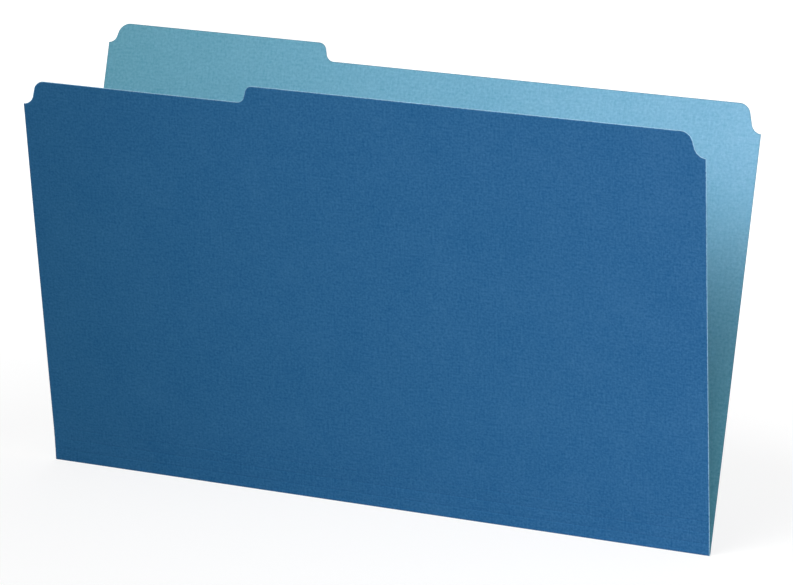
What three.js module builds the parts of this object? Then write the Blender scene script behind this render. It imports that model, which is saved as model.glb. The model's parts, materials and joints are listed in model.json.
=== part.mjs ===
// File folder, legal size, one-third-cut tab, two-tone board
//
// One die-cut sheet of duplex board, creased into panels that turn on each other like hinges:
// rear cover, fold spine, three score strips and front cover. Every panel is two plies thick.
// Millimetres. X runs along the fold, Z is up, the front cover leans to -Y and the rear cover to +Y.
// The origin is the middle of the fold spine's underside, the line the folder stands on.

import * as THREE from 'three';

// Board
const WIDTH = 374.65;
const OUTER_PLY = 0.14;
const INNER_PLY = 0.14;

// Heights along the board, measured up from the fold
const BODY_HEIGHT = 231.775;
const TAB_RISE = 9.525;
const UNDERCUT_DROP = 9.525;

// Lengths along the top edge, measured in from the left end
const TAB_CUT = 124.9;
const UNDERCUT_CUT = 123.6;

// Creases: the spine is the pressed channel of the main fold, the strips lie between score lines
const SPINE_WIDTH = 1.0;
const SCORE_PITCH = 6.35;
const SCORE_COUNT = 3;
const CREASE_GAP = 0.4;

// Rest pose: an open V, with the strips at its foot a little steeper than the front cover
const REAR_LEAN_DEG = 12.6;
const FRONT_LEAN_DEG = 12.6;
const BASE_TUCK_DEG = 3;

// S-shaped steps: radii of the hollow and the round, and how steep the run between them is
const STEP_SLOPE_DEG = 75;
const TAB_STEP = { low: 4.3, high: 4.3 };
const FRONT_CORNER = { low: 6, high: 6 };
const REAR_CORNER = { low: 5.5, high: 6 };
const TAB_CORNER = { low: 4.5, high: 7 };
const FRONT_CORNER_DROP = 13.4;
const REAR_CORNER_DROP = 14.9;
const TAB_CORNER_DROP = 11;
const ARC_STEPS = 10;

// Finish
const OUTER_COLOUR = 0x2e629b;
const INNER_COLOUR = 0x7db1cb;
const BOARD_ROUGHNESS = 0.85;

const LEFT_END = -WIDTH / 2;
const RIGHT_END = WIDTH / 2;
const CREASE_PITCH = SPINE_WIDTH + CREASE_GAP;
const BASE_HEIGHT = SCORE_COUNT * SCORE_PITCH;
const STEP_SLOPE = THREE.MathUtils.degToRad(STEP_SLOPE_DEG);
const QUARTER_TURN = Math.PI / 2;

// Which side of the panel's fold plane a ply lies on, in the panel's own frame
const TOWARDS_FRONT = -1;
const TOWARDS_REAR = 1;

// How wide an S-shaped step is for its rise
function stepWidth(rise, { low, high }) {
  const arcs = (low + high) * (1 - Math.cos(STEP_SLOPE));
  return (low + high) * Math.sin(STEP_SLOPE) + (rise - arcs) / Math.tan(STEP_SLOPE);
}

// A step that climbs towards the left, its low end at (x, y)
function climb(path, x, y, rise, form) {
  const far = x - stepWidth(rise, form);
  path.absarc(x, y + form.low, form.low, -QUARTER_TURN, -QUARTER_TURN - STEP_SLOPE, true);
  path.absarc(far, y + rise - form.high, form.high, QUARTER_TURN - STEP_SLOPE, QUARTER_TURN, false);
}

// A step that falls towards the left, its low end at (x, y)
function fall(path, x, y, rise, form) {
  const far = x + stepWidth(rise, form);
  path.absarc(far, y + rise - form.high, form.high, QUARTER_TURN, QUARTER_TURN + STEP_SLOPE, false);
  path.absarc(x, y + form.low, form.low, STEP_SLOPE - QUARTER_TURN, -QUARTER_TURN, true);
}

// A plain strip between two creases
function stripOutline(width) {
  const shape = new THREE.Shape();
  shape.moveTo(LEFT_END, CREASE_GAP / 2);
  shape.lineTo(RIGHT_END, CREASE_GAP / 2);
  shape.lineTo(RIGHT_END, CREASE_GAP / 2 + width);
  shape.lineTo(LEFT_END, CREASE_GAP / 2 + width);
  shape.closePath();
  return shape;
}

// Rear cover: notched corners, and the index tab over the left third
function rearOutline() {
  const tabTop = BODY_HEIGHT + TAB_RISE;
  const tabFoot = LEFT_END + TAB_CUT + stepWidth(TAB_RISE, TAB_STEP);
  const shape = new THREE.Shape();
  shape.moveTo(LEFT_END, CREASE_GAP / 2);
  shape.lineTo(RIGHT_END, CREASE_GAP / 2);
  shape.lineTo(RIGHT_END, BODY_HEIGHT - REAR_CORNER_DROP);
  climb(shape, RIGHT_END, BODY_HEIGHT - REAR_CORNER_DROP, REAR_CORNER_DROP, REAR_CORNER);
  climb(shape, tabFoot, BODY_HEIGHT, TAB_RISE, TAB_STEP);
  fall(shape, LEFT_END, tabTop - TAB_CORNER_DROP, TAB_CORNER_DROP, TAB_CORNER);
  shape.closePath();
  return shape;
}

// Front cover above the last score line: notched corners, and the undercut below the tab
function frontOutline() {
  const top = BODY_HEIGHT - BASE_HEIGHT;
  const undercut = top - UNDERCUT_DROP;
  const shape = new THREE.Shape();
  shape.moveTo(LEFT_END, CREASE_GAP / 2);
  shape.lineTo(RIGHT_END, CREASE_GAP / 2);
  shape.lineTo(RIGHT_END, top - FRONT_CORNER_DROP);
  climb(shape, RIGHT_END, top - FRONT_CORNER_DROP, FRONT_CORNER_DROP, FRONT_CORNER);
  fall(shape, LEFT_END + UNDERCUT_CUT, undercut, UNDERCUT_DROP, TAB_STEP);
  fall(shape, LEFT_END, undercut - FRONT_CORNER_DROP, FRONT_CORNER_DROP, FRONT_CORNER);
  shape.closePath();
  return shape;
}

// The outline stands up along Z and is thickened to one side of the fold plane, which is y = 0,
// so that the two plies of a panel meet there in exactly the same triangles
function plyGeometry(outline, thickness, side) {
  const geometry = new THREE.ExtrudeGeometry(outline, {
    depth: thickness, bevelEnabled: false, curveSegments: ARC_STEPS,
  });
  const position = geometry.getAttribute('position');
  const corner = new THREE.Vector3();
  const stand = (index) => {
    corner.fromBufferAttribute(position, index);
    return [corner.x, side * corner.z, corner.y];
  };
  for (let first = 0; first < position.count; first += 3) {
    const corners = [stand(first), stand(first + 1), stand(first + 2)];
    if (side === TOWARDS_REAR) corners.reverse();
    corners.forEach((xyz, step) => position.setXYZ(first + step, ...xyz));
  }
  geometry.deleteAttribute('normal');
  geometry.deleteAttribute('uv');
  geometry.computeVertexNormals();
  return geometry;
}

// Both plies of one panel, added to the panel's own group
function addPanel(group, name, outline, outerSide) {
  const plies = [
    ['outer_ply', OUTER_PLY, outerSide, OUTER_COLOUR],
    ['inner_ply', INNER_PLY, -outerSide, INNER_COLOUR],
  ];
  for (const [ply, thickness, side, color] of plies) {
    const material = new THREE.MeshStandardMaterial({ color, roughness: BOARD_ROUGHNESS, metalness: 0 });
    const mesh = new THREE.Mesh(plyGeometry(outline, thickness, side), material);
    mesh.name = `${name}_${ply}`;
    group.add(mesh);
  }
}

// A group that turns about a crease, `along` millimetres up its parent panel
function creaseGroup(parent, along, turnDeg) {
  const group = new THREE.Group();
  group.position.z = along;
  group.rotation.x = THREE.MathUtils.degToRad(turnDeg);
  parent.add(group);
  return group;
}

function buildFolder() {
  const folder = new THREE.Group();

  const rear = creaseGroup(folder, OUTER_PLY, -REAR_LEAN_DEG);
  rear.position.y = CREASE_PITCH / 2;
  addPanel(rear, 'rear_cover', rearOutline(), TOWARDS_REAR);

  const spineTurnDeg = 90;
  const spine = creaseGroup(folder, OUTER_PLY, spineTurnDeg);
  spine.position.y = CREASE_PITCH / 2;
  addPanel(spine, 'fold_spine', stripOutline(SPINE_WIDTH), TOWARDS_FRONT);

  // From the spine, each panel is carried by the one below it
  const tuckStepDeg = BASE_TUCK_DEG / SCORE_COUNT;
  let panel = creaseGroup(spine, CREASE_PITCH, FRONT_LEAN_DEG - BASE_TUCK_DEG - spineTurnDeg);
  for (let number = 1; number <= SCORE_COUNT; number += 1) {
    addPanel(panel, `score_strip_${number}`, stripOutline(SCORE_PITCH - CREASE_GAP), TOWARDS_FRONT);
    panel = creaseGroup(panel, SCORE_PITCH, tuckStepDeg);
  }
  addPanel(panel, 'front_cover', frontOutline(), TOWARDS_FRONT);
  return folder;
}

export default buildFolder();
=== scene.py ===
"""The real folder is one die-cut sheet of duplex board, dark blue outside and light blue inside.
Every panel, crease and score line is modelled here as two plies that meet on one middle surface,
and rides on, or bends between, the four bodies of the frame. Lengths are metres.
"""

import json
import logging
import math
from dataclasses import dataclass
from enum import Enum
from typing import Any, Callable, ClassVar

import bmesh
import bpy
from mathutils import Matrix, Vector, noise
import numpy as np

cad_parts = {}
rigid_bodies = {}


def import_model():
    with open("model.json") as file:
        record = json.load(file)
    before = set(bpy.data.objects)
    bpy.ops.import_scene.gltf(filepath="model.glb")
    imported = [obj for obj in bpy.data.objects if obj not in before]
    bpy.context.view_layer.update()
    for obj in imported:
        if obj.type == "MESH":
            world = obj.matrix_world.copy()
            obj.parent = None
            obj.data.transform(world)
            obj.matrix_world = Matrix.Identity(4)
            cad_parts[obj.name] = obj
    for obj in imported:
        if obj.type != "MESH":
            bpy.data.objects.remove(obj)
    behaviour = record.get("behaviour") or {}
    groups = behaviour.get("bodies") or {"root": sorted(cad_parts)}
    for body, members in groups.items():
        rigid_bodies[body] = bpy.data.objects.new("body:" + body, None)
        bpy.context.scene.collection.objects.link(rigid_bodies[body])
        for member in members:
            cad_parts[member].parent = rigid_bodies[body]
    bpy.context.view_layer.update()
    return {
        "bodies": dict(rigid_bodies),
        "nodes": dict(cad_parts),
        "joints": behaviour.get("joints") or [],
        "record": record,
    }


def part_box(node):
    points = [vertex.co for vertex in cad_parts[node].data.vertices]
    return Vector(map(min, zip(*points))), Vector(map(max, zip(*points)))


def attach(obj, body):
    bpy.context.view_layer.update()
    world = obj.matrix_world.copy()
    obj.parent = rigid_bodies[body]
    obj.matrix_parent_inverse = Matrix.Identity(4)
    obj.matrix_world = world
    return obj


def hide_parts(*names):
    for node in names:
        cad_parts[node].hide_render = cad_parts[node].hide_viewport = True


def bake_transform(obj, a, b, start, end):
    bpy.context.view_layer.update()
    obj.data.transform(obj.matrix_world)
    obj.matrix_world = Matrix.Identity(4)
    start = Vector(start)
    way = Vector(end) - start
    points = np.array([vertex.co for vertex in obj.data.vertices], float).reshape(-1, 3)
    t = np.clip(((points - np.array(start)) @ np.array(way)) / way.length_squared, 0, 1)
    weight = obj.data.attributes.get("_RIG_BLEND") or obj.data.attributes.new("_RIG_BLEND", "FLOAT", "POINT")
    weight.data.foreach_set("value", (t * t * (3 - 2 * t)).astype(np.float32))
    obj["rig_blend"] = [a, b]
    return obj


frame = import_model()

log = logging.getLogger("file_folder")

MM = 0.001
INCH = 25.4 * MM

# Names that meshes and materials share: the rim attribute and the map of the flat blank
RIM = "rim"
BLANK = "blank"

Colour = tuple[float, float, float]
WHITE: Colour = (1.0, 1.0, 1.0)


class Ply(Enum):
    """The two plies of the board, by the sign of the side of the middle surface they lie on."""

    OUTER = 1
    INNER = -1

    @property
    def label(self) -> str:
        """The ply's word in the names of pieces and nodes."""
        return self.name.lower()

    @property
    def slot(self) -> str:
        """The record's material slot of the ply, which also ends its nodes' names."""
        return f"{self.label}_ply"


class Side(Enum):
    """The two halves of the folder, by the sign of Y they lean towards."""

    FRONT = -1
    REAR = 1


@dataclass(frozen=True)
class Plane:
    """A flat panel of board at rest.

    Args:
        origin: The point of its crease at the middle of the folder.
        up: The direction along the board.
        outward: The direction of the dark face.
    """

    origin: Vector
    up: Vector
    outward: Vector

    @classmethod
    def leaning(cls, origin: Vector, lean: float, side: Side) -> "Plane":
        """Makes a panel that stands on its crease and leans outwards.

        Args:
            origin: The point of its crease at the middle of the folder.
            lean: The angle from upright, in radians.
            side: The half of the folder that it belongs to.

        Returns:
            The panel's plane.
        """
        up = Vector((0, side.value * math.sin(lean), math.cos(lean)))
        outward = Vector((0, side.value * math.cos(lean), -math.sin(lean)))
        return cls(origin, up, outward)

    def point(self, along: float, out: float = 0.0, x: float = 0.0) -> Vector:
        """Returns the point that far along the board and that far out of it."""
        return self.origin + Vector((x, 0, 0)) + self.up * along + self.outward * out


@dataclass(frozen=True)
class FoldLines:
    """Where the creases run at rest, and the planes between them, read from the frame.

    Args:
        width: The length of the fold.
        ply: The thickness of each ply.
        rear: The rear cover's plane, from the main fold up.
        spine: The plane of the main fold's pressed channel, from its front edge to its rear one.
        strips: The planes of the strips between the score lines, lowest first.
        front: The front cover's plane, from the top score line up.
        pitch: The distance from one score line to the next.
    """

    width: float
    ply: dict[Ply, float]
    rear: Plane
    spine: Plane
    strips: list[Plane]
    front: Plane
    pitch: float

    @classmethod
    def from_frame(cls, packed: dict[str, Any]) -> "FoldLines":
        """Reads the creases from the joints, and the leans from the mounts on the covers.


        Returns:
            The folder's fold lines at rest.
        """
        axes = {joint["name"]: Vector(joint["pos_m"]) for joint in packed["joints"]}
        lean = {m["name"]: math.asin(-m["axis"][2]) for m in packed["record"]["mounts"]}
        foot, top_score = axes["base_fold"], axes["score_line_3"]
        run = top_score - foot

        # Three equal strips span the run, each turned from the one below by the same angle
        mean_lean = math.atan2(-run.y, run.z)
        turn = (mean_lean - lean["front_cover_face"]) / 2
        pitch = run.length / (1 + 2 * math.cos(turn))
        strips: list[Plane] = []
        for share in (1, 0, -1):
            strips.append(Plane.leaning(foot, mean_lean + share * turn, Side.FRONT))
            foot = strips[-1].point(pitch)

        # The spine lies flat, so its plies' boxes give the thicknesses
        low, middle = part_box("fold_spine_outer_ply")
        _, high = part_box("fold_spine_inner_ply")
        return cls(
            width=middle.x - low.x,
            ply={Ply.OUTER: middle.z - low.z, Ply.INNER: high.z - middle.z},
            rear=Plane.leaning(axes["main_fold"], lean["rear_cover_face"], Side.REAR),
            spine=Plane(axes["base_fold"], Vector((0, 1, 0)), Vector((0, 0, -1))),
            strips=strips,
            front=Plane.leaning(top_score, lean["front_cover_face"], Side.FRONT),
            pitch=pitch,
        )

    @property
    def half(self) -> float:
        """Half the length of the fold."""
        return self.width / 2

    @property
    def spine_width(self) -> float:
        """The distance between the two creases of the main fold."""
        return (self.rear.origin - self.spine.origin).length


@dataclass(frozen=True)
class Die:
    """How the cutting and creasing die treats the board.

    Args:
        rim: The width of the band along a cut edge whose colour is set apart: the cut's paler fibres with a
            painted highlight on the dark ply, and a painted dark line of shade on the light ply.
        crease: How far a crease piece reaches onto the panels on either side.
        channel: How far it reaches onto the narrow spine.
        bend: How far from a fold's line the board starts to round.
        groove: The depth of a score line.
        groove_half: Half the width of a score line.
        facets: The number of faces round a fold, and round each arc of an outline.
        grid: The largest face of a cover.
    """

    rim: float = 0.40 * MM
    crease: float = 0.70 * MM
    channel: float = 0.34 * MM
    bend: float = 0.33 * MM
    groove: float = 0.12 * MM
    groove_half: float = 0.50 * MM
    facets: int = 10
    grid: float = 11.0 * MM

    def dip(self, distance: float) -> float:
        """Returns how deep the middle surface lies that far from a score line."""
        share = min(abs(distance) / self.groove_half, 1.0)
        return self.groove * (1 + math.cos(math.pi * share)) / 2

    def samples(self, start: float, end: float) -> list[float]:
        """Returns distances from a score line that draw its groove, from start to end."""
        steps = range(-self.facets // 2, self.facets // 2 + 1)
        marks = [2 * self.groove_half * k / self.facets for k in steps]
        return [start, *(m for m in marks if start < m < end), end]


@dataclass(frozen=True)
class Corner:
    """A corner of an outline drawn on the flat blank.

    Args:
        x: Its place along the fold.
        along: Its place up the board.
        tangent: How far from the corner its round starts, or 0 where it stays sharp.
    """

    x: float
    along: float
    tangent: float = 0.0


@dataclass(frozen=True)
class Step:
    """An S-shaped step in a cut edge: a hollow, a steep run and a crown.

    Args:
        rise: How much higher the top of the step is than its foot.
        hollow: The radius at its foot.
        crown: The radius at its top.
        slope: The angle of the run between them, in radians.
    """

    rise: float
    hollow: float
    crown: float
    slope: float = math.radians(75)

    @property
    def run(self) -> float:
        """The distance along the edge from the foot of the hollow to the top of the crown."""
        rounds = math.tan(self.slope / 2) * (self.hollow + self.crown)
        return rounds + self.rise / math.tan(self.slope)

    def climb(self, x: float, foot: float, heading: int) -> list[Corner]:
        """Gives the step's two corners, the foot first.

        Args:
            x: Where the hollow starts.
            foot: The height of the step's foot.
            heading: -1 for a step that climbs towards -X, and 1 for one that climbs towards +X.

        Returns:
            The hollow's corner and the crown's.
        """
        low = math.tan(self.slope / 2) * self.hollow
        high = math.tan(self.slope / 2) * self.crown
        return [
            Corner(x + heading * low, foot, low),
            Corner(x + heading * (self.run - high), foot + self.rise, high),
        ]


class NodeBench:
    """A small bench for wiring a material's nodes.

    Args:
        name: The material's name.
    """

    def __init__(self, name: str) -> None:
        """Starts a material with a bare Principled shader."""
        self.material = bpy.data.materials.new(name)
        self.material.use_nodes = True
        self.tree = self.material.node_tree
        self.shader = self.tree.nodes["Principled BSDF"]

    def add(self, kind: str) -> bpy.types.Node:
        """Returns a new node of that kind."""
        return self.tree.nodes.new(kind)

    def feed(self, socket: bpy.types.NodeSocket, value: Any) -> None:
        """Wires a socket's output to an input, or sets the input's own value.

        Args:
            socket: The input.
            value: An output socket, a number or a colour.
        """
        if isinstance(value, bpy.types.NodeSocket):
            self.tree.links.new(value, socket)
        elif isinstance(value, tuple):
            socket.default_value = (*value, 1.0)
        else:
            socket.default_value = value

    def math(self, operation: str, *values: Any) -> bpy.types.NodeSocket:
        """Returns the output of a Math node on those values."""
        node = self.add("ShaderNodeMath")
        node.operation = operation
        for socket, value in zip(node.inputs, values):
            self.feed(socket, value)
        return node.outputs[0]

    def noise(self, place: bpy.types.NodeSocket, size: tuple[float, float, float],
              seed: float = 0.0, detail: float = 2.0) -> bpy.types.NodeSocket:
        """Adds a noise whose specks can be stretched.

        Args:
            place: The coordinates that it reads.
            size: The size of its specks along each axis, in metres.
            seed: Where along the third axis it is taken from, in specks.
            detail: How many finer octaves it has.

        Returns:
            The noise's value, about 0.5.
        """
        spread = self.add("ShaderNodeMapping")
        spread.vector_type = "TEXTURE"
        spread.inputs["Location"].default_value = (0, 0, seed * size[2])
        spread.inputs["Scale"].default_value = size
        self.feed(spread.inputs["Vector"], place)
        node = self.add("ShaderNodeTexNoise")
        node.inputs["Scale"].default_value = 1.0
        node.inputs["Detail"].default_value = detail
        self.feed(node.inputs["Vector"], spread.outputs[0])
        return node.outputs["Fac"]

    def ramp(self, value: bpy.types.NodeSocket, source: tuple[float, float],
             target: tuple[float, float] = (0.0, 1.0)) -> bpy.types.NodeSocket:
        """Returns the value, mapped from the source range to the target range and held there."""
        node = self.add("ShaderNodeMapRange")
        ends = ("From Min", "From Max", "To Min", "To Max")
        for name, amount in zip(ends, (*source, *target)):
            node.inputs[name].default_value = amount
        self.feed(node.inputs["Value"], value)
        return node.outputs[0]

    def blend(self, share: Any, first: Any, second: Any, mode: str = "MIX") -> bpy.types.NodeSocket:
        """Mixes two colours.

        Args:
            share: How much of the second is laid on the first, from 0 to 1.
            first: The first colour.
            second: The second colour.
            mode: How the second is laid on, in Blender's word for it.

        Returns:
            The mix.
        """
        node = self.add("ShaderNodeMix")
        node.data_type = "RGBA"
        node.blend_type = mode
        sockets = {s.identifier: s for s in (*node.inputs, *node.outputs)}
        self.feed(sockets["Factor_Float"], share)
        self.feed(sockets["A_Color"], first)
        self.feed(sockets["B_Color"], second)
        return sockets["Result_Color"]

    def bump(self, height: bpy.types.NodeSocket, strength: float, distance: float) -> None:
        """Roughens the shader's surface.

        Args:
            height: The height, about 0.5.
            strength: How much of the height shows.
            distance: The depth that a height of 1 stands for, in metres.
        """
        node = self.add("ShaderNodeBump")
        node.inputs["Strength"].default_value = strength
        node.inputs["Distance"].default_value = distance
        self.feed(node.inputs["Height"], height)
        self.feed(self.shader.inputs["Normal"], node.outputs["Normal"])


@dataclass(frozen=True)
class BoardFinish:
    """Coloured index board: a calendered sheet with a fine grain and faint crossed threads.

    Args:
        name: The material's name.
        deep: The colour of the darkest specks, linear.
        pale: The colour of the palest specks, linear.
        edge: The colour of the rim along a cut edge, linear.
        start_edge: The colour of that rim at the left end, where the knife's bevel presses it.
        start_tint: What the colours are multiplied by at the left end of the blank, painted shade where the
            lamps give less light.
        end_tint: What they are multiplied by at its right end, painted light and sheen where the lamps give
            more.
        fold_tint: What they are multiplied by again along the main fold.
        grain: The size of the sheet's specks.
        thread: The length and the width of a thread's mark on the blank.
        roughness: How matte the smoothest specks are.
        seed: Where in the noise the sheet is taken from.
    """

    name: str
    deep: Colour
    pale: Colour
    edge: Colour
    start_edge: Colour
    start_tint: Colour
    end_tint: Colour
    fold_tint: Colour
    grain: float
    thread: tuple[float, float]
    roughness: float
    seed: float

    # The threads' share of the fine pattern, the weight of the slow clouds on it, and their size
    THREADS: ClassVar[float] = 0.45
    CLOUDS: ClassVar[float] = 0.1
    CLOUD_SIZE: ClassVar[tuple[float, float, float]] = (24 * MM, 32 * MM, 1)
    THREAD_DETAIL: ClassVar[float] = 3

    # How far from the first layer's seed the others are taken, so that no two are alike
    CROSS_SEED: ClassVar[float] = 7
    GRAIN_SEED: ClassVar[float] = 3
    CLOUD_SEED: ClassVar[float] = 11

    # Ranges of the pattern over which the dye, the fraying of the rim and the gloss change
    DYE_RANGE: ClassVar[tuple[float, float]] = (0.40, 0.70)
    FRAY_RANGE: ClassVar[tuple[float, float]] = (0.28, 0.56)
    GLOSS_RANGE: ClassVar[tuple[float, float]] = (0.39, 0.61)

    # How far from the left end the rim is painted dark with shade, and between which heights the painted
    # shade along the fold fades
    SHADED_START: ClassVar[float] = 1.0 * MM
    FOLD_FADE: ClassVar[tuple[float, float]] = (70 * MM, 200 * MM)

    # The strength of the mirror light, and the strength and depth of the relief
    SPECULAR: ClassVar[float] = 0.25
    RELIEF: ClassVar[tuple[float, float]] = (0.5, 0.03 * MM)

    def material(self, width: float) -> bpy.types.Material:
        """Makes the board's material, patterned on the flat blank.

        Args:
            width: The width of the blank.

        Returns:
            The material.
        """
        bench = NodeBench(self.name)
        uv = bench.add("ShaderNodeUVMap")
        uv.uv_map = BLANK
        blank = uv.outputs["UV"]
        split = bench.add("ShaderNodeSeparateXYZ")
        bench.feed(split.inputs[0], blank)
        from_left = split.outputs["X"]
        from_fold = bench.math("ABSOLUTE", bench.math("SUBTRACT", split.outputs["Y"], width))
        long, short = self.thread
        along = bench.noise(blank, (long, short, 1), self.seed, self.THREAD_DETAIL)
        cross = bench.noise(blank, (short, long, 1), self.seed + self.CROSS_SEED, self.THREAD_DETAIL)
        grain = bench.noise(blank, (self.grain, self.grain, 1), self.seed + self.GRAIN_SEED)
        cloud = bench.noise(blank, self.CLOUD_SIZE, self.seed + self.CLOUD_SEED)
        threads = bench.math("MULTIPLY", bench.math("ADD", along, cross), self.THREADS / 2)
        fine = bench.math("MULTIPLY_ADD", grain, 1 - self.THREADS, threads)
        tone = bench.ramp(bench.math("MULTIPLY_ADD", cloud, self.CLOUDS, fine), self.DYE_RANGE)
        rim = bench.add("ShaderNodeAttribute")
        rim.attribute_name = RIM
        # The rim band's colour: on the dark board partly the cut's paler fibres and partly a painted
        # highlight, on the light board a painted dark line of shade
        frayed_and_painted_rim = bench.math("MULTIPLY", rim.outputs["Fac"], bench.ramp(fine, self.FRAY_RANGE))
        # Painted shade: the rim turns dark over the first millimetre of the left end
        edge = bench.blend(bench.ramp(from_left, (0.0, self.SHADED_START)), self.start_edge, self.edge)
        # Painted light and sheen: the colours darken towards the left end and brighten towards the right, as
        # the lamps fall there
        painted_light_ramp = bench.blend(bench.ramp(from_left, (0.0, width)), self.start_tint, self.end_tint)
        # Painted shade: the colours deepen towards the main fold, where the two halves shade each other
        painted_fold_shade = bench.blend(bench.ramp(from_fold, self.FOLD_FADE), self.fold_tint, WHITE)
        # Both painted light tints, multiplied together
        painted_light_tint = bench.blend(1.0, painted_light_ramp, painted_fold_shade, "MULTIPLY")
        face = bench.blend(1.0, bench.blend(tone, self.deep, self.pale), painted_light_tint, "MULTIPLY")
        bench.feed(bench.shader.inputs["Base Color"], bench.blend(frayed_and_painted_rim, face, edge))
        matte = bench.ramp(fine, self.GLOSS_RANGE, (self.roughness, 1.0))
        bench.feed(bench.shader.inputs["Roughness"], matte)
        bench.shader.inputs["Specular IOR Level"].default_value = self.SPECULAR
        bench.bump(fine, *self.RELIEF)
        return bench.material


@dataclass(frozen=True)
class EdgeFinish:
    """The knife-cut edge of one ply, where the torn fibres show.

    Args:
        name: The material's name.
        core: The colour inside the ply, linear.
        fuzz: The colour of the torn fibres, linear.
        speck: The size of a tuft of fibres.
    """

    name: str
    core: Colour
    fuzz: Colour
    speck: float = 0.25 * MM

    # The finer octaves of the tufts, and the range over which their colour changes
    DETAIL: ClassVar[float] = 3
    TORN_RANGE: ClassVar[tuple[float, float]] = (0.35, 0.65)

    # How matte the fibres are, and their mirror light and relief as on the board's face
    ROUGHNESS: ClassVar[float] = 0.95
    SPECULAR: ClassVar[float] = 0.1
    RELIEF: ClassVar[tuple[float, float]] = (0.5, 0.03 * MM)

    def material(self) -> bpy.types.Material:
        """Makes the edge's material.

        Returns:
            The material.
        """
        bench = NodeBench(self.name)
        place = bench.add("ShaderNodeTexCoord").outputs["Object"]
        torn = bench.noise(place, (self.speck, self.speck, self.speck), detail=self.DETAIL)
        colour = bench.blend(bench.ramp(torn, self.TORN_RANGE), self.core, self.fuzz)
        bench.feed(bench.shader.inputs["Base Color"], colour)
        bench.shader.inputs["Roughness"].default_value = self.ROUGHNESS
        bench.shader.inputs["Specular IOR Level"].default_value = self.SPECULAR
        bench.bump(torn, *self.RELIEF)
        return bench.material


class Board:
    """The board itself: turns a drawing of the middle surface into a finished ply.

    Args:
        lines: The folder's fold lines.
        die: How the die treats the board.
        finishes: The face's and the edge's finish of each ply.
    """

    # The angle past which an edge stays sharp, and the bevel profile of a circular arc
    SHARP = math.radians(40)
    ROUND = 0.5

    # The distances within which a point lies on a line, and two points are one
    SNAP = 0.001 * MM
    WELD = 0.01 * MM

    def __init__(self, lines: FoldLines, die: Die,
                 finishes: dict[Ply, tuple[BoardFinish, EdgeFinish]]) -> None:
        """Keeps the sizes and makes the materials that every piece of board needs."""
        self.lines = lines
        self.die = die
        self.materials = {ply: [face.material(lines.width), edge.material()]
                          for ply, (face, edge) in finishes.items()}

    def stations(self) -> list[float]:
        """Returns the places along the fold where a strip of board has its edges."""
        inner = self.lines.half - self.die.rim
        count = math.ceil(2 * inner / self.die.grid)
        between = [-inner + 2 * inner * k / count for k in range(count + 1)]
        return [-self.lines.half, *between, self.lines.half]

    def sweep(self, section: list[Vector]) -> bmesh.types.BMesh:
        """Draws a strip of the middle surface along the whole fold.

        Args:
            section: The points of its section, from one long side to the other.

        Returns:
            The open strip.
        """
        bm = bmesh.new()
        stations = self.stations()
        chain = [bm.verts.new((stations[0], p.y, p.z)) for p in section]
        edges = [bm.edges.new(pair) for pair in zip(chain, chain[1:])]
        for before, after in zip(stations, stations[1:]):
            grown = bmesh.ops.extrude_edge_only(bm, edges=edges)["geom"]
            moved = [g for g in grown if isinstance(g, bmesh.types.BMVert)]
            bmesh.ops.translate(bm, verts=moved, vec=(after - before, 0, 0))
            edges = [g for g in grown if isinstance(g, bmesh.types.BMEdge) and self.is_across(g)]
        return bm

    @staticmethod
    def is_across(edge: bmesh.types.BMEdge) -> bool:
        """Tells whether an edge lies in one section of a strip."""
        return abs(edge.verts[0].co.x - edge.verts[1].co.x) < Board.SNAP

    def mark_rim(self, bm: bmesh.types.BMesh, is_cut: Callable[[bmesh.types.BMVert], bool]) -> None:
        """Marks the points of an open sheet that lie on a cut edge.

        Args:
            bm: The open sheet.
            is_cut: Tells which points do.
        """
        rim = bm.verts.layers.float.new(RIM)
        for vert in bm.verts:
            vert[rim] = float(is_cut(vert))

    def at_end(self, vert: bmesh.types.BMVert) -> bool:
        """Tells whether a point lies at either end of the fold's length."""
        return abs(vert.co.x) > self.lines.half - self.SNAP

    def lay_out(self, bm: bmesh.types.BMesh, height: Callable[[Vector], float]) -> None:
        """Maps a sheet onto the flat blank, whose lower left corner is the map's origin.

        Args:
            bm: The sheet.
            height: How high on the blank a point lies, with the main fold at 0.
        """
        blank = bm.loops.layers.uv.new(BLANK)
        for face in bm.faces:
            for loop in face.loops:
                place = loop.vert.co
                loop[blank].uv = (place.x + self.lines.half, height(place) + self.lines.width)

    def thicken(self, bm: bmesh.types.BMesh, ply: Ply, outward: Vector) -> None:
        """Gives an open sheet of the middle surface the thickness of one ply.

        Args:
            bm: The open sheet, which becomes the closed ply.
            ply: The ply.
            outward: A direction on the dark side of the sheet.
        """
        bmesh.ops.recalc_face_normals(bm, faces=bm.faces[:])
        bm.normal_update()
        facing = sum((face.normal * face.calc_area() for face in bm.faces), Vector())
        if facing.dot(outward) * ply.value > 0:
            bmesh.ops.reverse_faces(bm, faces=bm.faces[:])
            bm.normal_update()
        bmesh.ops.solidify(bm, geom=bm.faces[:], thickness=self.lines.ply[ply])

    def finish(self, name: str, bm: bmesh.types.BMesh, ply: Ply) -> bpy.types.Object:
        """Makes the finished object of one closed ply.

        Args:
            name: The piece's name, without its ply.
            bm: The closed ply, which is freed.
            ply: The ply.

        Returns:
            The object.
        """
        rim = bm.verts.layers.float[RIM]

        # A ply that was bent onto a plane that mirrors it is inside out
        if bm.calc_volume(signed=True) < 0:
            bmesh.ops.reverse_faces(bm, faces=bm.faces[:])
        bm.normal_update()
        for face in bm.faces:
            face.smooth = True
            face.material_index = int(all(vert[rim] > 0.5 for vert in face.verts))
        for edge in bm.edges:
            edge.smooth = edge.calc_face_angle(0.0) < self.SHARP
        mesh = bpy.data.meshes.new(f"{name}_{ply.label}")
        bm.to_mesh(mesh)
        bm.free()
        for material in self.materials[ply]:
            mesh.materials.append(material)
        piece = bpy.data.objects.new(mesh.name, mesh)
        bpy.context.scene.collection.objects.link(piece)
        log.info("%s: %d faces", piece.name, len(mesh.polygons))
        return piece


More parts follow.
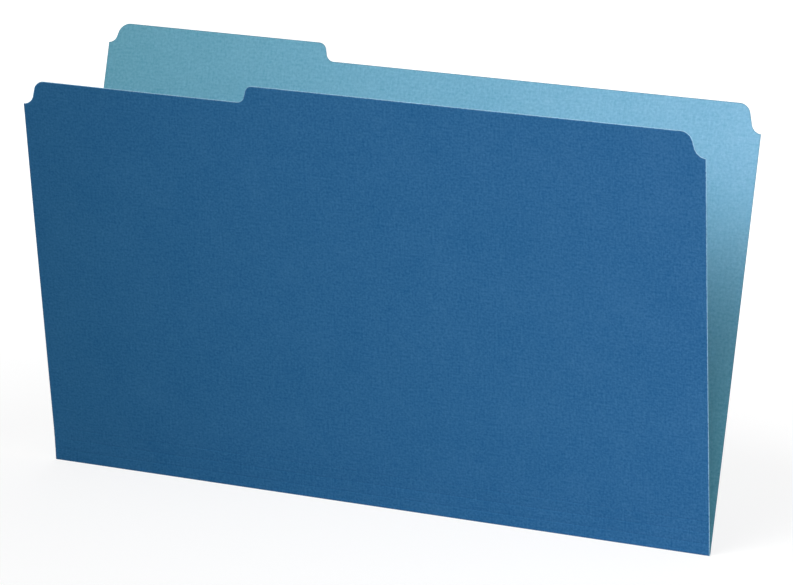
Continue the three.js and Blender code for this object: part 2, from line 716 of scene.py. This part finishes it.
@dataclass(frozen=True)
class Cover:
    """One of the two covers: a panel with a notched, stepped outline that has dried a little bowed.

    Args:
        name: The name of its body, its pieces and its nodes.
        plane: Its plane, from its crease up.
        foot_on_blank: How high its crease lies on the blank.
        up_on_blank: The direction on the blank in which it rises.
        corners: The corners of its cut edge, from its lower right end to its lower left one.
        bow: How far outwards the middle of its height stands.
        twist: How far outwards its top right corner stands; its top left one stands as far in.
        wave: The height of the slow waves in the sheet.
        wave_length: The distance over which they rise and fall.
        wave_start: The share of the height over which they grow from nothing at the crease.
    """

    name: str
    plane: Plane
    foot_on_blank: float
    up_on_blank: int
    corners: list[Corner]
    bow: float
    twist: float
    wave: float = 0.25 * MM
    wave_length: float = 95 * MM
    wave_start: float = 0.25

    @property
    def height(self) -> float:
        """The height of the highest cut edge above the crease."""
        return max(corner.along for corner in self.corners)

    def swell(self, x: float, along: float, board: Board) -> float:
        """Returns how far outwards the sheet stands from its plane at a point."""
        share = max(along - board.die.crease, 0) / (self.height - board.die.crease)
        across = x / board.lines.half
        place = Vector((x, along, self.plane.up.y)) / self.wave_length
        waves = self.wave * noise.noise(place) * min(share / self.wave_start, 1)
        return self.bow * 4 * share * (1 - share) + self.twist * share * across + waves

    def outline(self, board: Board) -> bmesh.types.BMesh:
        """Draws the cover flat, with rounded steps, a rim band and a grid.

        Args:
            board: The board that it is cut from.

        Returns:
            The open sheet, with X along the fold and Y up the board.
        """
        half, foot = board.lines.half, board.die.crease
        bm = bmesh.new()
        corners = [Corner(-half, foot), Corner(half, foot), *self.corners]
        verts = [bm.verts.new((corner.x, corner.along, 0)) for corner in corners]
        edges = [bm.edges.new(pair) for pair in zip(verts, verts[1:] + verts[:1])]
        bmesh.ops.contextual_create(bm, geom=edges)
        for vert, corner in zip(verts, corners):
            if corner.tangent:
                # A hair less than the tangent, because a round that runs past its edge is cut short
                offset = corner.tangent - board.SNAP / 2
                bmesh.ops.bevel(bm, geom=[vert], offset=offset, offset_type="OFFSET",
                                segments=board.die.facets, profile=board.ROUND,
                                affect="VERTICES", material=-1)
        bmesh.ops.remove_doubles(bm, verts=bm.verts[:], dist=board.WELD)
        bmesh.ops.inset_region(bm, faces=bm.faces[:], thickness=board.die.rim,
                               use_boundary=True, use_even_offset=True)
        across = [(Vector((x, 0, 0)), Vector((1, 0, 0))) for x in board.stations()[1:-1]]
        rows = math.ceil(self.height / board.die.grid)
        ups = [(Vector((0, self.height * k / rows, 0)), Vector((0, 1, 0))) for k in range(1, rows)]
        for point, normal in across + ups:
            bmesh.ops.bisect_plane(bm, geom=bm.verts[:] + bm.edges[:] + bm.faces[:],
                                   dist=board.SNAP, plane_co=point, plane_no=normal)
        return bm

    def build(self, board: Board) -> None:
        """Makes both plies, which stand for the cover's nodes and ride on its body.

        Args:
            board: The board that it is cut from.
        """
        for ply in Ply:
            bm = self.outline(board)
            foot = board.die.crease + board.SNAP
            board.mark_rim(bm, lambda v: v.is_boundary and (v.co.y > foot or board.at_end(v)))
            board.lay_out(bm, lambda co: self.foot_on_blank + self.up_on_blank * co.y)
            board.thicken(bm, ply, Vector((0, 0, 1)))
            for vert in bm.verts:
                x, along, out = vert.co
                vert.co = self.plane.point(along, out + self.swell(x, along, board), x)
            piece = board.finish(self.name, bm, ply)
            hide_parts(f"{self.name}_{ply.slot}")
            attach(piece, self.name)


@dataclass(frozen=True)
class Strip:
    """A flat strip between two creases, with half a groove where it ends on a score line.

    Args:
        name: The name of its pieces and nodes.
        body: The body that it rides on.
        plane: Its plane, from its first crease on.
        start: Where the strip starts on its plane.
        end: Where it ends.
        grooves: The places on its plane of the score lines that it ends on.
        foot_on_blank: How high its first crease lies on the blank.
        up_on_blank: The direction on the blank in which it runs.
    """

    name: str
    body: str
    plane: Plane
    start: float
    end: float
    grooves: tuple[float, ...]
    foot_on_blank: float
    up_on_blank: int

    def section(self, board: Board) -> list[Vector]:
        """Returns the points of the strip's section."""
        marks = {self.start, self.end}
        for groove in self.grooves:
            # The reach's two ends are the strip's own, and would only differ from them by rounding
            reach = board.die.samples(self.start - groove, self.end - groove)
            marks.update(groove + distance for distance in reach[1:-1])
        dips = {m: sum(board.die.dip(m - groove) for groove in self.grooves) for m in marks}
        return [self.plane.point(mark, -dips[mark]) for mark in sorted(marks)]

    def build(self, board: Board) -> None:
        """Makes both plies, which stand for the strip's nodes.

        Args:
            board: The board that it is creased from.
        """
        for ply in Ply:
            bm = board.sweep(self.section(board))
            board.mark_rim(bm, board.at_end)
            board.lay_out(bm, lambda co: self.foot_on_blank
                          + self.up_on_blank * (co - self.plane.origin).dot(self.plane.up))
            board.thicken(bm, ply, self.plane.outward)
            piece = board.finish(self.name, bm, ply)
            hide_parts(f"{self.name}_{ply.slot}")
            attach(piece, self.body)


@dataclass(frozen=True)
class Crease:
    """The crushed board between two panels, which bends as they turn.

    Args:
        name: The name of its pieces.
        before: The plane that the board comes from, running towards the crease.
        after: The plane that it goes on to, running away from it.
        bodies: The bodies of the two panels.
        reach: How far it reaches onto each panel.
        foot_on_blank: How high the crease lies on the blank.
        up_on_blank: The direction on the blank in which the board runs.
        is_fold: Whether it is a rounded fold rather than a grooved score line.
    """

    name: str
    before: Plane
    after: Plane
    bodies: tuple[str, str]
    reach: tuple[float, float]
    foot_on_blank: float
    up_on_blank: int
    is_fold: bool

    @property
    def chord(self) -> Vector:
        """The direction from one end of the crease to the other."""
        return (self.before.up + self.after.up).normalized()

    def grooved(self, board: Board) -> bmesh.types.BMesh:
        """Draws the middle surface of a score line."""
        axis = self.after.origin
        section: list[Vector] = []
        for s in board.die.samples(-self.reach[0], self.reach[1]):
            side = self.before if s < 0 else self.after
            section.append(axis + side.up * s - side.outward * board.die.dip(s))
        return board.sweep(section)

    def rounded(self, board: Board) -> bmesh.types.BMesh:
        """Draws the middle surface of a fold."""
        axis = self.after.origin
        ends = (axis - self.before.up * self.reach[0], axis + self.after.up * self.reach[1])
        bm = board.sweep([ends[0], axis, ends[1]])
        ridge = [e for e in bm.edges if all((v.co - axis).yz.length < board.SNAP for v in e.verts)]
        bmesh.ops.bevel(bm, geom=ridge, offset=board.die.bend, offset_type="OFFSET",
                        segments=board.die.facets, profile=board.ROUND, affect="EDGES",
                        material=-1)
        return bm

    def build(self, board: Board) -> None:
        """Makes both plies, which bend between the bodies of the two panels.

        Args:
            board: The board that it is creased from.
        """
        axis = self.after.origin
        half_turn = self.before.up.angle(self.after.up) / 2

        # Each end face leans across the chord by this much, and all of it moves with its panel
        slack = max(board.lines.ply.values()) * math.tan(half_turn)
        for ply in Ply:
            bm = self.rounded(board) if self.is_fold else self.grooved(board)
            board.mark_rim(bm, board.at_end)
            board.lay_out(bm, lambda co: self.foot_on_blank
                          + self.up_on_blank * (co - axis).dot(self.chord))
            board.thicken(bm, ply, self.before.outward + self.after.outward)
            piece = board.finish(self.name, bm, ply)
            start = axis - self.before.up * (self.reach[0] - slack)
            end = axis + self.after.up * (self.reach[1] - slack)
            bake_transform(piece, *self.bodies, start=start, end=end)


@dataclass(frozen=True)
class FolderSizes:
    """The die's drawing of the blank, in the trade's inches where it has them.

    Args:
        body: The height of the rear cover beside its tab, and of the front cover at its right.
        tab_rise: How far the tab stands above the rear cover.
        undercut: How far the front cover is cut down below the tab.
        tab_cut: Where along the top the tab's step ends, from the left end.
        undercut_cut: Where along the top the undercut ends, from the left end.
        tab_step: The step from the rear cover up to its tab, and from the undercut up to the front.
        front_corner: The notch at both upper corners of the front cover.
        rear_corner: The notch at the upper right corner of the rear cover.
        tab_corner: The notch at the tab's own corner.
        bow: How far outwards the middle of each cover stands.
        rear_twist: How far outwards the rear cover's top right corner stands.
        front_twist: How far outwards the front cover's does.
    """

    body: float = 9.125 * INCH
    tab_rise: float = 0.375 * INCH
    undercut: float = 0.375 * INCH
    tab_cut: float = 124.9 * MM
    undercut_cut: float = 123.6 * MM
    tab_step: Step = Step(0.375 * INCH, 4.3 * MM, 4.3 * MM)
    front_corner: Step = Step(13.4 * MM, 6 * MM, 6 * MM)
    rear_corner: Step = Step(14.9 * MM, 5.5 * MM, 6 * MM)
    tab_corner: Step = Step(11 * MM, 4.5 * MM, 7 * MM)
    bow: float = 0.25 * MM
    rear_twist: float = -1.9 * MM
    front_twist: float = -0.8 * MM


class Folder:
    """The whole folder, panel by panel from the rear cover round to the front one.

    Args:
        lines: The fold lines of the frame.
        sizes: The die's drawing.
    """

    def __init__(self, lines: FoldLines, sizes: FolderSizes) -> None:
        """Keeps the sizes."""
        self.lines = lines
        self.sizes = sizes

    def rear_cover(self) -> Cover:
        """Returns the rear cover, with the index tab over its left third."""
        sizes, half = self.sizes, self.lines.half
        shoulder = sizes.body - sizes.rear_corner.rise
        tab_top = sizes.body + sizes.tab_rise
        tab_foot = sizes.tab_cut - half + sizes.tab_step.run
        ear = tab_top - sizes.tab_corner.rise
        corners = [
            Corner(half, shoulder),
            *sizes.rear_corner.climb(half, shoulder, -1),
            *sizes.tab_step.climb(tab_foot, sizes.body, -1),
            *reversed(sizes.tab_corner.climb(-half, ear, 1)),
            Corner(-half, ear),
        ]
        return Cover("rear_cover", self.lines.rear, self.lines.spine_width, 1, corners,
                     bow=sizes.bow, twist=sizes.rear_twist)

    def front_cover(self) -> Cover:
        """Returns the front cover above its top score line, with the undercut below the tab."""
        sizes, half = self.sizes, self.lines.half
        top = sizes.body - len(self.lines.strips) * self.lines.pitch
        shoulder = top - sizes.front_corner.rise
        undercut = top - sizes.undercut
        ear = undercut - sizes.front_corner.rise
        corners = [
            Corner(half, shoulder),
            *sizes.front_corner.climb(half, shoulder, -1),
            *reversed(sizes.tab_step.climb(sizes.undercut_cut - half, undercut, 1)),
            *reversed(sizes.front_corner.climb(-half, ear, 1)),
            Corner(-half, ear),
        ]
        return Cover("front_cover", self.lines.front, -len(self.lines.strips) * self.lines.pitch,
                     -1, corners, bow=sizes.bow, twist=sizes.front_twist)

    def strips(self, die: Die) -> list[Strip]:
        """Returns the spine and the strips between the score lines.

        Args:
            die: How the die treats the board.

        Returns:
            The four strips, the spine first.
        """
        pitch, last = self.lines.pitch, len(self.lines.strips) - 1
        made = [Strip("fold_spine", "fold_spine", self.lines.spine, die.channel,
                      self.lines.spine_width - die.channel, (), 0.0, 1)]
        for k, plane in enumerate(self.lines.strips):
            start, end = (0.0 if k else die.crease), (pitch if k < last else pitch - die.crease)
            grooves = tuple(place for place in (start, end) if place in (0.0, pitch))
            made.append(Strip(f"score_strip_{k + 1}", "base_strips", plane, start, end, grooves,
                              -k * pitch, -1))
        return made

    def creases(self, die: Die) -> list[Crease]:
        """Returns the two folds at the spine and the score line that the front cover turns on.

        Args:
            die: How the die treats the board.

        Returns:
            The three creases.
        """
        lines = self.lines
        towards_front = Plane(lines.spine.origin, -lines.spine.up, lines.spine.outward)
        return [
            Crease("main_fold", lines.spine, lines.rear, ("fold_spine", "rear_cover"),
                   (die.channel, die.crease), lines.spine_width, 1, True),
            Crease("base_fold", towards_front, lines.strips[0], ("fold_spine", "base_strips"),
                   (die.channel, die.crease), 0.0, -1, True),
            Crease("score_line_3", lines.strips[-1], lines.front, ("base_strips", "front_cover"),
                   (die.crease, die.crease), -len(lines.strips) * lines.pitch, -1, False),
        ]

    def build(self, board: Board) -> None:
        """Makes every piece of the folder.

        Args:
            board: The board that it is cut from.
        """
        parts = [self.rear_cover(), *self.strips(board.die), *self.creases(board.die),
                 self.front_cover()]
        for part in parts:
            part.build(board)
            log.info("built %s", part.name)


@dataclass(frozen=True)
class Lamp:
    """A soft square lamp.

    Args:
        name: Its name.
        place: Where it stands.
        aim: What it points at.
        size: The length of its sides.
        power: Its power in watts.
        spread: The angle that its grid keeps the light within, in radians.
    """

    name: str
    place: tuple[float, float, float]
    aim: tuple[float, float, float]
    size: float
    power: float
    spread: float = math.pi

    def build(self) -> None:
        """Hangs the lamp in the studio."""
        data = bpy.data.lights.new(self.name, "AREA")
        data.shape = "SQUARE"
        data.size = self.size
        data.energy = self.power
        data.spread = self.spread
        lamp = bpy.data.objects.new(self.name, data)
        lamp.location = self.place
        lamp.rotation_euler = (Vector(self.place) - Vector(self.aim)).to_track_quat("Z", "Y").to_euler()
        bpy.context.scene.collection.objects.link(lamp)


@dataclass(frozen=True)
class CameraStand:
    """The photograph's viewpoint.

    Args:
        azimuth: The angle round the folder, in degrees, towards its right end.
        elevation: The angle above the floor, in degrees.
        roll: The angle that the horizon is turned by in the image, in degrees.
        distance: How far the camera stands from what it looks at.
        pivot: The middle of the folder, which the angles are taken about.
        aside: How far to the right of the pivot the camera looks.
        above: How far above it.
        lens: The focal length for a sensor of the given width, in millimetres.
        sensor: The width of the sensor, in millimetres.
    """

    azimuth: float = 21.71
    elevation: float = 12.27
    roll: float = -2.32
    distance: float = 1922 * MM
    pivot: tuple[float, float, float] = (0, 0, 100 * MM)
    aside: float = 9.07 * MM
    above: float = 15.37 * MM
    lens: float = 166.43
    sensor: float = 36.0

    def build(self) -> None:
        """Sets the camera up."""
        turn, lift = math.radians(self.azimuth), math.radians(self.elevation)
        level = Matrix.Rotation(turn, 3, "Z") @ Matrix.Rotation(math.pi / 2 - lift, 3, "X")
        rolled = level @ Matrix.Rotation(math.radians(-self.roll), 3, "Z")
        right, up, back = (rolled.col[k] for k in range(3))
        data = bpy.data.cameras.new("camera")
        data.sensor_width, data.lens = self.sensor, self.lens
        camera = bpy.data.objects.new("camera", data)
        place = Vector(self.pivot) + right * self.aside + up * self.above + back * self.distance
        camera.matrix_world = Matrix.Translation(place) @ rolled.to_4x4()
        bpy.context.scene.collection.objects.link(camera)
        bpy.context.scene.camera = camera


@dataclass(frozen=True)
class Studio:
    """A plain pale floor, soft lamps and an even white surround.

    Args:
        lamps: The lamps.
        ambient: The strength of the light from all round.
        floor_tone: The floor's own brightness.
        floor_glow: The brightness that the camera sees on the floor by the folder without any light.
        floor_shade: How much of the floor's lit brightness the camera sees on top of that.
        floor_half: Half the floor's side.
        fade: The distances from the folder between which the glow rises to full white.
    """

    lamps: tuple[Lamp, ...] = (
        Lamp("high key", (-0.086, -0.816, 0.988), (0.26, -0.02, 0.12), size=0.70, power=0.93,
             spread=0.80),
        Lamp("low key", (-0.110, -1.044, 0.692), (0.26, -0.02, 0.12), size=0.70, power=0.51,
             spread=0.80),
        Lamp("side", (1.255, -0.724, 0.50), (0, 0, 0.11), size=0.70, power=1.8),
        Lamp("back", (-0.40, 1.30, 0.70), (0, 0, 0.11), size=0.90, power=5.0),
    )
    ambient: float = 0.44
    floor_tone: float = 0.80
    floor_glow: float = 0.80
    floor_shade: float = 0.24
    floor_half: float = 6.0
    fade: tuple[float, float] = (0.25, 0.7)

    def straight(self, tree: bpy.types.NodeTree) -> bpy.types.NodeSocket:
        """Adds a value that is 1 for what the camera, a mirror or a window sees, else 0."""
        path = tree.nodes.new("ShaderNodeLightPath")
        seen = path.outputs["Is Camera Ray"]
        for name in ("Is Glossy Ray", "Is Transmission Ray"):
            node = tree.nodes.new("ShaderNodeMath")
            node.operation = "MAXIMUM"
            tree.links.new(seen, node.inputs[0])
            tree.links.new(path.outputs[name], node.inputs[1])
            seen = node.outputs[0]
        return seen

    def floor(self) -> None:
        """Lays the floor, which fades to the white of the surround away from the folder."""
        bm = bmesh.new()
        bmesh.ops.create_grid(bm, x_segments=1, y_segments=1, size=self.floor_half)
        mesh = bpy.data.meshes.new("floor")
        bm.to_mesh(mesh)
        bm.free()
        bench = NodeBench("pale floor")
        seen = self.straight(bench.tree)
        far = bench.add("ShaderNodeVectorMath")
        far.operation = "LENGTH"
        bench.feed(far.inputs[0], bench.add("ShaderNodeTexCoord").outputs["Object"])
        glow = bench.ramp(far.outputs["Value"], self.fade, (self.floor_glow, 1.0))
        tone = bench.ramp(seen, (0.0, 1.0), (self.floor_tone, self.floor_shade))
        bench.feed(bench.shader.inputs["Base Color"], tone)
        bench.feed(bench.shader.inputs["Emission Color"], WHITE)
        bench.feed(bench.shader.inputs["Emission Strength"], bench.math("MULTIPLY", glow, seen))
        bench.shader.inputs["Roughness"].default_value = 1.0
        bench.shader.inputs["Specular IOR Level"].default_value = 0.0
        mesh.materials.append(bench.material)
        floor = bpy.data.objects.new("floor", mesh)
        bpy.context.scene.collection.objects.link(floor)

    def surround(self) -> None:
        """Sets an even white all round, softer as a light than it looks."""
        world = bpy.data.worlds.new("surround")
        world.use_nodes = True
        bpy.context.scene.world = world
        tree = world.node_tree
        light = tree.nodes["Background"]
        light.inputs["Color"].default_value = (*WHITE, 1.0)
        strength = tree.nodes.new("ShaderNodeMapRange")
        strength.inputs["To Min"].default_value = self.ambient
        strength.inputs["To Max"].default_value = 1.0
        tree.links.new(self.straight(tree), strength.inputs["Value"])
        tree.links.new(strength.outputs[0], light.inputs["Strength"])

    def build(self) -> None:
        """Sets the studio up."""
        bpy.context.scene.view_settings.view_transform = "Standard"
        self.floor()
        self.surround()
        for lamp in self.lamps:
            lamp.build()


FINISHES = {
    Ply.OUTER: (
        BoardFinish(
            "dark blue board",
            deep=(0.0026, 0.0870, 0.2363), pale=(0.0350, 0.1470, 0.3153),
            # The rim: the cut's paler fibres with a painted highlight, and painted shade at the left end
            edge=(0.36, 0.68, 0.92), start_edge=(0.001, 0.012, 0.035),
            # Painted light and sheen: darker at the left end, brighter at the right
            start_tint=(0.82, 0.99, 0.96), end_tint=(1.10, 1.01, 1.03),
            # Painted shade along the main fold
            fold_tint=(0.97, 1.0, 0.985),
            grain=1.25 * MM, thread=(9.0 * MM, 0.60 * MM), roughness=0.78, seed=2.0,
        ),
        EdgeFinish("dark blue cut edge", core=(0.30, 0.52, 0.72), fuzz=(0.66, 0.84, 0.95)),
    ),
    Ply.INNER: (
        BoardFinish(
            "light blue board",
            deep=(0.145, 0.408, 0.567), pale=(0.256, 0.541, 0.703),
            # The rim, at the left end too: a painted dark line of shade
            edge=(0.060, 0.170, 0.240), start_edge=(0.060, 0.170, 0.240),
            # Painted light: darker at the left end, brighter at the right
            start_tint=(0.87, 0.98, 0.94), end_tint=(1.09, 0.97, 1.01),
            # Painted shade along the main fold, deeper and greener
            fold_tint=(0.77, 1.02, 0.93),
            grain=1.40 * MM, thread=(9.0 * MM, 0.65 * MM), roughness=0.80, seed=5.0,
        ),
        EdgeFinish("light blue cut edge", core=(0.46, 0.70, 0.86), fuzz=(0.74, 0.88, 0.96)),
    ),
}


def main() -> None:
    """Builds the studio and the folder."""
    logging.basicConfig(level=logging.INFO, format="%(message)s")
    CameraStand().build()
    Studio().build()
    lines = FoldLines.from_frame(frame)
    Folder(lines, FolderSizes()).build(Board(lines, Die(), FINISHES))


if __name__ == "__main__":
    main()
